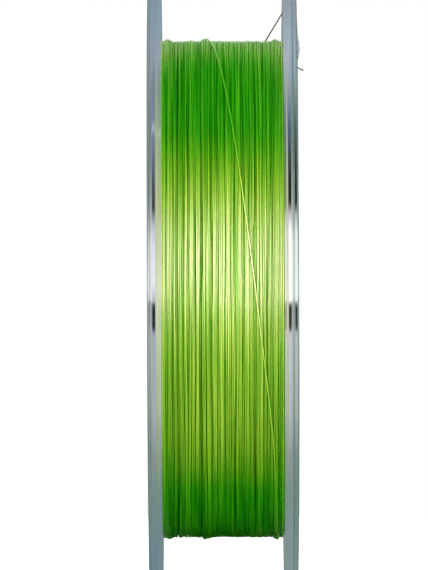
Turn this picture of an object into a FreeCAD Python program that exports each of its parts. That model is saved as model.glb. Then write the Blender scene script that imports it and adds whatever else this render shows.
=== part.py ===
import FreeCAD, Part
import math
import os

# A clear spool of green braided fishing line, as it stands on its two rims.
# The axis lies along X, +Z is up and the front is -Y. The origin is on the axis, midway between the rims.
# Two clear mouldings, each a flange with half of the drum, snap together at the middle of the drum.
# A place is a distance along the axis. An angle goes round it in degrees: 0 is the top, 90 the front.

# Flanges, in millimetres
overall_width = 25.4
flange_diameter = 102.0
bead_thickness = 1.5           # the rim's inner band
lip_thickness = 0.8            # the rim's outer band
lip_step = 0.6                 # how far the outer band is set in from the rim
rim_chamfer = 0.3
ring_width = 1.0               # the raised ring that the spool lies on
recess_depth = 0.25            # of the outer face inside that ring
web_thickness = 1.5            # of the outer wall inside the drum

# Drum, boss and ribs
drum_inset = 12.0              # from the rim to the drum
drum_wall = 2.0
bore_diameter = 12.0
boss_wall = 2.2
rib_count = 6
rib_thickness = 1.2
rib_crown = 2.0                # how far each rib runs out level from the boss
rib_drop = 3.0                 # how much lower each rib is at the drum than at the boss
rib_setback = 0.6              # from the middle plane
drive_hole_count = 2
drive_hole_diameter = 6.0
drive_circle_diameter = 30.0

# How the two mouldings go together
joint_clearance = 0.05
spigot_length = 2.5
tab_count = 3
tab_width = 6.0
tab_thickness = 1.5
barb_height = 0.7
barb_flat = 0.5
barb_taper = 1.2
ledge_height = 0.9
ledge_thickness = 1.4
ledge_margin = 1.0             # how far a ledge runs past its tab on each side

# Line
line_diameter = 0.235
line_sides = 4
line_clearance = 0.03          # between the line and what it lies on
winding_inset = 8.5            # from the rim to the top of the winding
layer_turns = 10               # each turn of the outer layer stands for a bundle of finer ones
layer_thickness = 0.65
layer_gap = 0.45
start_tape_thickness = 0.12
start_tape_width = 12.0
start_tape_arc = 20.0          # degrees round the drum

# The last turn crosses the winding from left to right: angle, share of the way from the middle to a flange
crossing_route = [
    (-150.0, -0.894), (-105.0, -0.875), (-65.0, -0.76), (0.0, -0.275),
    (90.0, 0.522), (125.0, 0.798), (180.0, 0.885), (225.0, 0.731), (270.0, 0.538),
]

# The tail leaves the winding, goes through a hole in the right flange and ends under a tape
leave_share = 0.62             # of the way from the middle to the flange
hole_angle = 10.8
hole_inset = 3.0               # from the rim to the hole's centre
hole_diameter = 2.0
tail_end_angle = 37.2
tail_end_inset = 3.2           # from the rim
tip_reach = 1.15               # how far the free tip stands out
tip_drop = 0.6
tail_bend_radius = 0.7
tail_sweep_radius = 4.7
tape_angle = 33.3
tape_inset = 3.2               # from the rim to the tape's centre line
tape_length = 17.0
tape_width = 3.4
tape_thickness = 0.1
tape_bulge = 0.15              # over the line under it
bulge_start = -7.6             # along the tape, from its middle
bulge_top = -3.0
bulge_end = 2.0

half_width = overall_width / 2
rim_radius = flange_diameter / 2
lip_radius = rim_radius - lip_step
ring_radius = lip_radius - ring_width
drum_radius = rim_radius - drum_inset
drum_bore_radius = drum_radius - drum_wall
drum_split_radius = drum_radius - drum_wall / 2
bore_radius = bore_diameter / 2
boss_radius = bore_radius + boss_wall
winding_radius = rim_radius - winding_inset
core_radius = winding_radius - layer_thickness
line_radius = line_diameter / 2
line_place_radius = winding_radius + line_clearance + line_radius
step_place = half_width - lip_thickness
inner_face_place = step_place - bead_thickness
outer_face_place = half_width - recess_depth
leave_place = inner_face_place * leave_share
web_inner_place = outer_face_place - web_thickness
socket_depth = spigot_length + joint_clearance
ledge_radius = drum_bore_radius - ledge_height
hole_radius = rim_radius - hole_inset
axis_x = FreeCAD.Vector(1, 0, 0)
origin = FreeCAD.Vector(0, 0, 0)


def at(place, radius, angle):
    """A point at a place along the axis, a radius from it and an angle round it."""
    turn = math.radians(angle)
    return FreeCAD.Vector(place, -radius * math.sin(turn), radius * math.cos(turn))


def turned(outline, angle=360):
    """A solid of revolution about the axis from (place, radius) points."""
    points = [FreeCAD.Vector(place, 0, radius) for place, radius in outline]
    face = Part.Face(Part.makePolygon(points + points[:1]))
    return face.revolve(origin, axis_x, angle)


def plate(outline, thickness, angle):
    """A plate in a plane through the axis, from (place, radius) points, turned to its angle."""
    points = [FreeCAD.Vector(place, -thickness / 2, radius) for place, radius in outline]
    face = Part.Face(Part.makePolygon(points + points[:1]))
    solid = face.extrude(FreeCAD.Vector(0, thickness, 0))
    solid.rotate(origin, axis_x, angle)
    return solid


def rod(start, end, diameter):
    """A round rod between two points."""
    run = end - start
    return Part.makeCylinder(diameter / 2, run.Length, start, run)


def mirrored(outline):
    """The same outline on the other side of the middle plane."""
    return [(-place, radius) for place, radius in outline]


def half_outline(joint):
    """The outline of the right moulding, from its bore round its outer face and rim to the drum's end.

    The joint is the list of points of the drum wall's end, from its outside to its inside.
    """
    return [
        (0, bore_radius),
        (outer_face_place, bore_radius),
        (outer_face_place, ring_radius),
        (half_width, ring_radius),
        (half_width, lip_radius),
        (step_place, lip_radius),
        (step_place, rim_radius - rim_chamfer),
        (step_place - rim_chamfer, rim_radius),
        (inner_face_place, rim_radius),
        (inner_face_place, drum_radius),
        *joint,
        (web_inner_place, drum_bore_radius),
        (web_inner_place, boss_radius),
        (0, boss_radius),
    ]


def spigot_end():
    """The left drum wall's end: its inner half runs on past the middle as a spigot."""
    split = drum_split_radius - joint_clearance / 2
    return [
        (0, drum_radius),
        (0, split),
        (-spigot_length, split),
        (-spigot_length, drum_bore_radius),
    ]


def socket_end():
    """The right drum wall's end: its inner half is cut back to take the spigot."""
    split = drum_split_radius + joint_clearance / 2
    return [
        (0, drum_radius),
        (0, split),
        (socket_depth, split),
        (socket_depth, drum_bore_radius),
    ]


def rib_outline():
    """A rib of the right moulding, from the boss to the drum wall, lower towards the drum."""
    root = web_inner_place + web_thickness / 2
    near = boss_radius - boss_wall / 2
    far = drum_bore_radius + drum_wall / 4
    low = socket_depth + rib_setback + rib_drop
    return [
        (root, near),
        (rib_setback, near),
        (rib_setback, boss_radius + rib_crown),
        (low, drum_bore_radius - tab_thickness),
        (low, far),
        (root, far),
    ]


def rib_angles():
    """Ribs stand at equal angles from the top."""
    return [360 * n / rib_count for n in range(rib_count)]


def tab_angles():
    """Snap tabs stand midway between ribs."""
    return [180 / rib_count + 360 * n / tab_count for n in range(tab_count)]


def drive_hole_angles():
    """Drive holes are spread evenly from the middle between the first two ribs."""
    return [180 / rib_count + 360 * n / drive_hole_count for n in range(drive_hole_count)]


def tab_outline():
    """A snap tab of the left moulding: it reaches across the middle and hooks behind a ledge."""
    outer = ledge_radius - joint_clearance
    catch = socket_depth + ledge_thickness + joint_clearance
    return [
        (-web_inner_place - web_thickness / 2, outer - tab_thickness),
        (catch + barb_flat + barb_taper, outer - tab_thickness),
        (catch + barb_flat + barb_taper, outer),
        (catch + barb_flat, outer + barb_height),
        (catch, outer + barb_height),
        (catch, outer),
        (-web_inner_place - web_thickness / 2, outer),
    ]


def ledge_outline():
    """A ledge inside the right drum wall, which a tab hooks behind."""
    return [
        (socket_depth, ledge_radius),
        (socket_depth + ledge_thickness, ledge_radius),
        (socket_depth + ledge_thickness, drum_bore_radius + drum_wall / 4),
        (socket_depth, drum_bore_radius + drum_wall / 4),
    ]


def with_drive_holes(body):
    """Cuts the round holes that a line winder's drive pins go into."""
    for angle in drive_hole_angles():
        start = at(-half_width, drive_circle_diameter / 2, angle)
        end = at(half_width, drive_circle_diameter / 2, angle)
        body = body.cut(rod(start, end, drive_hole_diameter))
    return body


def left_half():
    """The left moulding, with the drum's spigot and the snap tabs."""
    body = turned(mirrored(half_outline(spigot_end())))
    ribs = [plate(mirrored(rib_outline()), rib_thickness, angle) for angle in rib_angles()]
    tabs = [plate(tab_outline(), tab_width, angle) for angle in tab_angles()]
    return with_drive_holes(body.fuse(ribs + tabs).removeSplitter())


def right_half():
    """The right moulding, with the drum's socket, the ledges and the hole for the line."""
    body = turned(half_outline(socket_end()))
    ribs = [plate(rib_outline(), rib_thickness, angle) for angle in rib_angles()]
    ledge_width = tab_width + 2 * ledge_margin
    ledges = [plate(ledge_outline(), ledge_width, angle) for angle in tab_angles()]
    body = body.fuse(ribs + ledges).removeSplitter()
    start = at(0, hole_radius, hole_angle)
    end = at(overall_width, hole_radius, hole_angle)
    return with_drive_holes(body.cut(rod(start, end, hole_diameter)))


def start_tape():
    """The strip that holds the line's inner end on the drum."""
    return turned([
        (-start_tape_width / 2, drum_radius),
        (start_tape_width / 2, drum_radius),
        (start_tape_width / 2, drum_radius + start_tape_thickness),
        (-start_tape_width / 2, drum_radius + start_tape_thickness),
    ], start_tape_arc)


def inner_layers():
    """The layers of line under the outer one, which fill the drum and close round the strip."""
    ring = turned([
        (-inner_face_place, drum_radius),
        (inner_face_place, drum_radius),
        (inner_face_place, core_radius),
        (-inner_face_place, core_radius),
    ])
    return ring.cut(start_tape())


def arc_middle(start, tangent, end):
    """The middle point of the arc that leaves start along tangent and ends at end."""
    run = end - start
    normal = (run - tangent * run.dot(tangent)).normalize()
    radius = run.dot(run) / (2 * run.dot(normal))
    half = math.atan2(run.dot(normal), run.dot(tangent))
    centre = start + normal * radius
    return centre + (tangent * math.sin(half) - normal * math.cos(half)) * radius


def biarc(start, start_tangent, end, end_tangent):
    """Two arcs that join two points and keep both tangents."""
    run = end - start
    both = start_tangent + end_tangent
    spread = 2 * (1 - start_tangent.dot(end_tangent))
    reach = (math.sqrt(run.dot(both) ** 2 + spread * run.dot(run)) - run.dot(both)) / spread
    middle = (start + end + (start_tangent - end_tangent) * reach) * 0.5
    first = Part.Arc(start, arc_middle(start, start_tangent, middle), middle)
    last = Part.Arc(middle, arc_middle(end, -end_tangent, middle), end)
    return [first.toShape(), last.toShape()]


def turn_direction(radius, angle, rise):
    """The direction of a turn at an angle, where it moves along the axis by rise per degree."""
    turn = math.radians(angle)
    step = radius * math.radians(1)
    return FreeCAD.Vector(rise, -step * math.cos(turn), -step * math.sin(turn)).normalize()


def wound(stations, radius):
    """Edges of a strand wound on a radius, through (angle, place, rise) stations."""
    edges = []
    for first, last in zip(stations, stations[1:]):
        edges += biarc(
            at(first[1], radius, first[0]),
            turn_direction(radius, first[0], first[2]),
            at(last[1], radius, last[0]),
            turn_direction(radius, last[0], last[2]),
        )
    return edges


def swept(name, edges, section, lean=0):
    """A strand along joined edges. The section is (across, out) points from the path.

    The lean, in radians, turns the section's start round the path.
    """
    start = edges[0].valueAt(edges[0].FirstParameter)
    direction = edges[0].tangentAt(edges[0].FirstParameter)
    away = FreeCAD.Vector(0, start.y, start.z).normalize()
    away = (away - direction * away.dot(direction)).normalize()
    beside = direction.cross(away)
    points = [start + beside * across + away * out for across, out in section]
    profile = Part.makePolygon(points + points[:1])
    profile.rotate(start, direction, math.degrees(lean))
    spine = Part.Wire(edges)
    strand = spine.makePipeShell([profile], True, False)
    expected = Part.Face(profile).Area * spine.Length
    print(f"{name}: {spine.Length:.1f} mm long, {strand.Volume:.2f} mm3 of {expected:.2f}")
    return strand


def line_section():
    """The section of a single line: a polygon whose flats lie the line's radius from its path."""
    corner = line_radius / math.cos(math.pi / line_sides)
    turns = [math.pi * (2 * n + 1) / line_sides for n in range(line_sides)]
    return [(corner * math.sin(turn), corner * math.cos(turn)) for turn in turns]


def least_gap(stations, radius, width):
    """The least clear gap between neighbouring turns, measured on the stations' points."""
    points = [at(place, radius, angle) for angle, place, rise in stations]
    gaps = []
    for n, point in enumerate(points):
        gaps += [(other - point).Length - width for other in points[n + 3:]]
    return min(gaps)


def outer_layer():
    """The outer layer: one unbroken strand wound in low ridges from the left flange to the right.

    A section swept along a helix turns round its path by the helix's length over its radius.
    Half of that turn is taken off at the start, and the strand lies high enough for its edges to clear.
    """
    pitch = (2 * (inner_face_place - line_clearance) + layer_gap) / (layer_turns + 1)
    width = pitch - layer_gap
    lean = layer_turns * pitch / core_radius / 2
    base = line_clearance + width / 2 * math.sin(lean)
    height = layer_thickness - base
    first_place = -inner_face_place + line_clearance + width / 2
    radius = core_radius + base
    rise = pitch / 360
    stations = [(90 * n, first_place + pitch * n / 4, rise) for n in range(4 * layer_turns + 1)]
    start = at(first_place, radius, 0)
    end = at(stations[-1][1], radius, stations[-1][0])
    way = turn_direction(radius, 0, rise)
    edges = [Part.LineSegment(start - way * height, start).toShape()]
    edges += wound(stations, radius)
    edges.append(Part.LineSegment(end, end + way * height).toShape())
    print(f"outer layer: {layer_turns} turns, least gap {least_gap(stations, radius, width):.2f} mm")
    return swept("outer layer", edges, [(-width / 2, 0), (width / 2, 0), (0, height)], lean)


def crossing_stations():
    """The last turn's stations, each with the rise between its neighbours."""
    route = [(angle, inner_face_place * share) for angle, share in crossing_route]
    stations = []
    for n, (angle, place) in enumerate(route):
        before = route[max(n - 1, 0)]
        after = route[min(n + 1, len(route) - 1)]
        stations.append((angle, place, (after[1] - before[1]) / (after[0] - before[0])))
    return stations


def crossing_turn():
    """The last whole turn, which crosses the winding from left to right and comes part way back."""
    return swept("crossing turn", wound(crossing_stations(), line_place_radius), line_section())


def rounded_run(points, radii):
    """Straight runs joined by tangent arcs, with one radius for each inner point."""
    edges = []
    start = points[0]
    for before, corner, after, radius in zip(points, points[1:], points[2:], radii):
        back = (before - corner).normalize()
        on = (after - corner).normalize()
        half_turn = (math.pi - back.getAngle(on)) / 2
        arc_start = corner + back * (radius * math.tan(half_turn))
        arc_end = corner + on * (radius * math.tan(half_turn))
        inward = (back + on).normalize()
        middle = corner + inward * (radius / math.cos(half_turn) - radius)
        edges.append(Part.LineSegment(start, arc_start).toShape())
        edges.append(Part.Arc(arc_start, middle, arc_end).toShape())
        start = arc_end
    edges.append(Part.LineSegment(start, points[-1]).toShape())
    return edges


def line_tail():
    """The line's free end: off the winding, through the right flange and along its outer face."""
    leave_angle = hole_angle - math.degrees(math.acos(line_place_radius / hole_radius))
    taut = math.sqrt(hole_radius ** 2 - line_place_radius ** 2)
    leave_rise = (inner_face_place - leave_place) / taut * line_place_radius * math.radians(1)
    last_angle, last_place, last_rise = crossing_stations()[-1]
    stations = [(last_angle - 360, last_place, last_rise), (leave_angle, leave_place, leave_rise)]
    on_face = outer_face_place + line_clearance + line_radius
    end = at(on_face, rim_radius - tail_end_inset, tail_end_angle)
    hole_mouth = at(on_face, hole_radius, hole_angle)
    runs = [
        at(leave_place, line_place_radius, leave_angle),
        at(inner_face_place, hole_radius, hole_angle),
        hole_mouth,
        (hole_mouth + end) * 0.5 + axis_x * tape_bulge,
        end,
        end + FreeCAD.Vector(tip_reach, 0, -tip_drop),
    ]
    radii = [tail_bend_radius, tail_bend_radius, tail_sweep_radius, tail_bend_radius]
    print("tail bends: " + ", ".join(f"{radius:.2f} mm" for radius in radii))
    return swept("tail", wound(stations, line_place_radius) + rounded_run(runs, radii), line_section())


def tail_tape():
    """The strip of clear tape that holds the tail down on the right flange's outer face."""
    face = outer_face_place
    over_line = face + line_diameter + 2 * line_clearance + tape_bulge
    end = tape_length / 2
    under = [(-end, face), (bulge_start, face), (bulge_top, over_line), (bulge_end, face), (end, face)]
    over = [(along, place + tape_thickness) for along, place in reversed(under)]
    way = turn_direction(rim_radius, tape_angle, 0)
    away = at(0, 1, tape_angle)
    middle = away * (rim_radius - tape_inset - tape_width / 2)
    points = [middle + way * along + axis_x * place for along, place in under + over]
    strip = Part.Face(Part.makePolygon(points + points[:1]))
    return strip.extrude(away * tape_width)


def export(name, shape):
    """Writes one piece as its own STEP file."""
    print(name, "valid", shape.isValid(), "solids", len(shape.Solids), "volume", round(shape.Volume, 1))
    shape.Solids[0].exportStep(f"parts/{name}.step")


os.makedirs("parts", exist_ok=True)
export("left_half", left_half())
export("right_half", right_half())
export("start_tape", start_tape())
export("inner_layers", inner_layers())
export("outer_layer", outer_layer())
export("crossing_turn", crossing_turn())
export("line_tail", line_tail())
export("tail_tape", tail_tape())
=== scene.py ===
import math

import bmesh
import bpy
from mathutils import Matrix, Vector


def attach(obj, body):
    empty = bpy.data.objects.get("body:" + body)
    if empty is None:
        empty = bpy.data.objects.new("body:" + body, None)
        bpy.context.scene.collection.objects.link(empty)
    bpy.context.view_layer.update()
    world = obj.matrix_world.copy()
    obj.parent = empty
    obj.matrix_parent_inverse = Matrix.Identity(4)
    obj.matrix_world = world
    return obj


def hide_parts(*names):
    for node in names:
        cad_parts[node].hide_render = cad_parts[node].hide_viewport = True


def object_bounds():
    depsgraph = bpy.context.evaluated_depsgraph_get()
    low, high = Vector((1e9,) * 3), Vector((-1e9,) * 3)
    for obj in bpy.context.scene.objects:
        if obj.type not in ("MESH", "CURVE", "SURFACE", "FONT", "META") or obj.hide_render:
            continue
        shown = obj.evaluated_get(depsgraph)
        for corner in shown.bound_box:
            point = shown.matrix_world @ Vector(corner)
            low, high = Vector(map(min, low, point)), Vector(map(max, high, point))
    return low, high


# A clear spool of green braided fishing line, seen edge-on. The axis is X and the front is -Y.
# Sizes are in mm. Times mm, they are Blender's metres.
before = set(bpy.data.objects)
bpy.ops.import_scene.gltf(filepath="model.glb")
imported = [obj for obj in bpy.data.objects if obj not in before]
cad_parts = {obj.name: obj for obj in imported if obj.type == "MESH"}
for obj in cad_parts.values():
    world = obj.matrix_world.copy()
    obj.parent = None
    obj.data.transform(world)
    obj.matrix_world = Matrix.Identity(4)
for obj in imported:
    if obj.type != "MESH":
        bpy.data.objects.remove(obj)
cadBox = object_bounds()
mm = 0.001


def at(place, radius, angle):
    turn = math.radians(angle)  # 0 is the top, 90 the front
    return Vector((place, -radius * math.sin(turn), radius * math.cos(turn))) * mm


def newObject(name, data):
    piece = bpy.data.objects.new(name, data)
    bpy.context.scene.collection.objects.link(piece)
    return piece


def evaluatedMesh(piece):
    return bpy.data.meshes.new_from_object(piece.evaluated_get(bpy.context.evaluated_depsgraph_get()))


def meshFrom(build, name, turnOut=True):
    if turnOut:
        bmesh.ops.recalc_face_normals(build, faces=build.faces)
    mesh = bpy.data.meshes.new(name)
    build.to_mesh(mesh)
    build.free()
    return mesh


def smoothFaces(mesh, sharpFrom=None):
    mesh.polygons.foreach_set("use_smooth", [True] * len(mesh.polygons))
    if sharpFrom:
        mesh.set_sharp_from_angle(angle=math.radians(sharpFrom))


def finishPiece(piece, slotName, *nodeNames):
    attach(piece, "root")
    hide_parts(*nodeNames)
    print("made", piece.name, len(piece.data.polygons), "faces")


# Camera
view = {
    "distance": 2000.0, "side": -1.50, "height": 0.73, "roll": 0.2,
    "lens": 739.0, "sensor": 36.0, "near": 0.1, "far": 20.0,
}
camera = newObject("photoCamera", bpy.data.cameras.new("photoCamera"))
camera.data.sensor_width = view["sensor"]
camera.data.lens = view["lens"]
camera.data.clip_start = view["near"]
camera.data.clip_end = view["far"]
camera.location = Vector((view["side"], -view["distance"], view["height"])) * mm
camera.rotation_euler = (math.radians(90), math.radians(view["roll"]), 0)
bpy.context.scene.camera = camera
print("camera placed")


# Node helpers. An input is given a value, or a socket to link to.
def addNode(nodes, kind, inputs=(), **values):
    node = nodes.new(kind)
    for key, value in values.items():
        setattr(node, key, value)
    for key, value in dict(inputs).items():
        if isinstance(value, bpy.types.NodeSocket):
            node.id_data.links.new(value, node.inputs[key])
        else:
            node.inputs[key].default_value = value
    return node


def mathNode(nodes, operation, *terms, clamp=False):
    node = addNode(nodes, "ShaderNodeMath", enumerate(terms), operation=operation, use_clamp=clamp)
    return node.outputs[0]


def rangeNode(nodes, value, fromMin, fromMax, toMin=0.0, toMax=1.0, easing="LINEAR"):
    inputs = {"Value": value, "From Min": fromMin, "From Max": fromMax, "To Min": toMin, "To Max": toMax}
    return addNode(nodes, "ShaderNodeMapRange", inputs, interpolation_type=easing).outputs[0]


def mixColours(nodes, share, first, second, blend="MIX"):
    inputs = {0: share, 6: first, 7: second}
    return addNode(nodes, "ShaderNodeMix", inputs, data_type="RGBA", blend_type=blend).outputs[2]


def mixShaders(nodes, share, first, second):
    return addNode(nodes, "ShaderNodeMixShader", {0: share, 1: first, 2: second}).outputs[0]


def colourRamp(nodes, value, stops):
    ramp = addNode(nodes, "ShaderNodeValToRGB", {0: value})
    elements = ramp.color_ramp.elements
    for place, colour in stops:
        last = elements[len(elements) - 1]
        stop = elements[0] if place == 0 else last if place == 1 else elements.new(place)
        stop.color = (*colour, 1)
    return ramp.outputs[0]


def ownPlace(nodes):
    return addNode(nodes, "ShaderNodeTexCoord").outputs["Object"]


def grainNode(nodes, place, scale, detail=2.0):
    inputs = {"Vector": place, "Scale": scale, "Detail": detail}
    return addNode(nodes, "ShaderNodeTexNoise", inputs).outputs["Fac"]


def attributeNode(nodes, name):
    return addNode(nodes, "ShaderNodeAttribute", attribute_name=name).outputs


def newMaterial(name):
    material = bpy.data.materials.new(name)
    material.use_nodes = True
    material.node_tree.nodes.clear()
    return material, material.node_tree.nodes


def principled(nodes, inputs, **outputs):
    shader = addNode(nodes, "ShaderNodeBsdfPrincipled", inputs)
    addNode(nodes, "ShaderNodeOutputMaterial", {"Surface": shader.outputs["BSDF"], **outputs})


# Line: a waxy braid with a pale yellow sheen, its low and grooved turns a painted shade of saturated green
braid = {
    # from the turns that lie low, in painted shade, to the ones that stand out, in painted light
    "colours": ((0.0002, 0.25, 0.0002), (0.008, 0.44, 0.0005), (0.090, 0.80, 0.004)),
    # the under layer and the core: the same line in painted shade, darker and duller because the top layer
    # covers it
    "shadedDeepColours": ((0.001, 0.15, 0.0005), (0.006, 0.24, 0.0008), (0.015, 0.34, 0.002)),
    # the loose tail: the line in painted shade, dark olive as if lit from behind
    "shadedTailColours": ((0.09, 0.15, 0.06), (0.13, 0.19, 0.08), (0.17, 0.24, 0.10)),
    "roughness": 0.21,
    "ior": 2.6, "deepIor": 2.0, "tailIor": 1.5,
    "sheenColour": (0.95, 0.46, 0.185, 1),
    "shadedValleySheen": (0.19, 0.42, 0.02, 1),
    "shadedDeepSheen": (0.18, 0.44, 0.02, 1),
    "sheenGain": 0.74, "sheenBase": 0.22, "sheenShare": 0.95,
    "grain": 2600.0, "grainDetail": 1.0, "grainShare": 0.9,
    "waxGain": 1.1, "waxBase": -0.22, "waxRoughness": 0.17, "waxIor": 1.8,
}


def makeBraidMaterial(
    name, colours, valley=braid["shadedValleySheen"], ior=braid["ior"], waxGain=braid["waxGain"],
):
    material, nodes = newMaterial(name)
    shade = attributeNode(nodes, "shade")["Fac"]
    # the plait's fine grain breaks up the sheen
    grain = grainNode(nodes, ownPlace(nodes), braid["grain"], braid["grainDetail"])
    leastShare = braid["sheenShare"] - braid["grainShare"] / 2
    plaited = mathNode(nodes, "MULTIPLY_ADD", grain, braid["grainShare"], leastShare)
    # the sheen tint and the wax coat follow the shade, so low turns get a duller painted-shade sheen
    ready = mathNode(nodes, "MULTIPLY_ADD", shade, braid["sheenGain"], braid["sheenBase"], clamp=True)
    lit = mathNode(nodes, "MULTIPLY", ready, plaited, clamp=True)
    principled(nodes, {
        "Base Color": colourRamp(nodes, shade, zip((0, 0.5, 1), colours)),
        "Roughness": braid["roughness"],
        "IOR": ior,
        "Specular IOR Level": 1.0,
        "Specular Tint": mixColours(nodes, lit, valley, braid["sheenColour"]),
        "Coat Weight": mathNode(nodes, "MULTIPLY_ADD", lit, waxGain, braid["waxBase"], clamp=True),
        "Coat Roughness": braid["waxRoughness"],
        "Coat IOR": braid["waxIor"],
    })
    return material


braidMaterial = makeBraidMaterial("braidedLine", braid["colours"])
shadedDeepMaterial = makeBraidMaterial("shadedDeepLine", braid["shadedDeepColours"], braid["shadedDeepSheen"], braid["deepIor"], 0.0)
shadedTailMaterial = makeBraidMaterial("shadedLooseLine", braid["shadedTailColours"], ior=braid["tailIor"])
print("line materials made")


class Tree:
    def __init__(self, name, sizes):
        self.group = bpy.data.node_groups.new(name, "GeometryNodeTree")
        self.nodes = self.group.nodes
        sockets = self.group.interface
        for way in ("INPUT", "OUTPUT"):
            sockets.new_socket("Geometry", in_out=way, socket_type="NodeSocketGeometry")
        self.sizes = {}
        for key, value in sizes.items():
            socket = sockets.new_socket(key, in_out="INPUT", socket_type="NodeSocketFloat")
            self.sizes[socket.identifier] = value
        self.given = self.nodes.new("NodeGroupInput").outputs

    def math(self, operation, *terms):
        return mathNode(self.nodes, operation, *terms)

    def times(self, first, *others):
        for other in others:
            first = self.math("MULTIPLY", first, other)
        return first

    def plus(self, a, b):
        return self.math("ADD", a, b)

    def minus(self, a, b):
        return self.math("SUBTRACT", a, b)

    def over(self, a, b):
        return self.math("DIVIDE", a, b)

    def timesPlus(self, a, b, c):
        return self.math("MULTIPLY_ADD", a, b, c)

    def vector(self, *terms):
        return addNode(self.nodes, "ShaderNodeCombineXYZ", enumerate(terms)).outputs[0]

    def bell(self, away):
        return self.math("EXPONENT", self.times(self.times(away, away), -1.0))

    def noise(self, place, seed, scale=1.0, detail=1.0):
        inputs = {
            "Vector": place, "W": self.plus(self.given["seed"], seed), "Scale": scale, "Detail": detail,
            "Roughness": 0.5,
        }
        raw = addNode(self.nodes, "ShaderNodeTexNoise", inputs, noise_dimensions="4D").outputs[0]
        return self.minus(raw, 0.5)


def applied(name, tree):
    carrier = newObject(name, bpy.data.meshes.new(name))
    modifier = carrier.modifiers.new("build", "NODES")
    modifier.node_group = tree.group
    for identifier, value in tree.sizes.items():
        modifier[identifier] = value
    mesh = evaluatedMesh(carrier)
    carrier.modifiers.clear()
    carrier.data = mesh
    return carrier


# The winding: each layer is one unbroken strand that wanders, bunches and crosses a little
winding = {
    "stepsPerTurn": 150,
    "strandSides": 5,
    # depth below the top, seed and unevenness of each layer
    "layers": ((0.0, 11.0, 1.0), (0.20, 37.0, 1.0), (3.08, 53.0, 0.12)),
    # how fast each unevenness changes: across and round the winding, or along the strand
    "bunchPace": (0.55, 0.9), "broadPace": (0.35, 0.6), "ridgePace": (1.1, 1.0),
    "ownPace": 0.45, "tonePace": 4.0, "groovePace": 1.1, "fadePace": 1.4, "grooveApart": 3.7,
    "bunchDetail": 2.0, "toneDetail": 2.0, "fadeDetail": 0.0,
    # what is added to a layer's seed
    "seeds": {
        "bunch": 0.0, "stray": 5.0, "lift": 9.0, "broad": 21.0, "tone": 31.0, "ridge": 41.0, "wander": 50.0,
        "fade": 70.0,
    },
    "reach": 10.4, "edgeHold": 12.0, "wallLightFalloff": 20.0,
    # the front shows grooves more than the top
    "facingGain": 0.75, "facingBase": 0.25,
    "fadeGain": 2.6, "grooveSink": 0.8,
    # the shade: a random tone, lighter where ridges and lifts raise a turn (painted light), darker in
    # grooves (painted shade)
    "shadeBase": 0.64, "shadeTone": 2.0, "shadeRidge": 1.2, "shadeLift": 1.0, "shadeBunch": 0.9,
    "paintedGrooveShade": 1.9,
    "humps": ((-9.3, 0.35), (-3.1, 0.40), (9.1, 0.35)),  # place and height
    # where bunches part at the front, and how deep
    "grooves": (
        (-9.5, 0.22), (-8.4, 0.20), (-7.6, 0.50), (-6.7, 0.26), (-5.9, 0.32), (-4.8, 0.26), (-3.7, 0.60),
        (-2.8, 0.12), (-1.95, 0.42), (-0.8, 0.38), (0.35, 0.34), (1.3, 0.20), (2.05, 0.42), (3.4, 0.32),
        (4.4, 0.18), (5.4, 0.50), (6.7, 0.34), (7.5, 0.20), (8.3, 0.26), (9.5, 0.14),
    ),
    # inputs of the node tree
    "sizes": {
        "turns": 88.0, "strandRadius": 0.1175, "firstPlace": -10.275, "lastPlace": 10.275,
        "topRadius": 42.36, "bunchReach": 0.7, "strayReach": 0.45, "rise": 0.30, "grooveWidth": 0.19,
        "groovePush": 0.45, "grooveWander": 0.9, "ridgeRise": 0.34, "humpWidth": 0.55, "liftRise": 0.32,
        "wallLightPainted": 1.0,
    },
}


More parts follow.
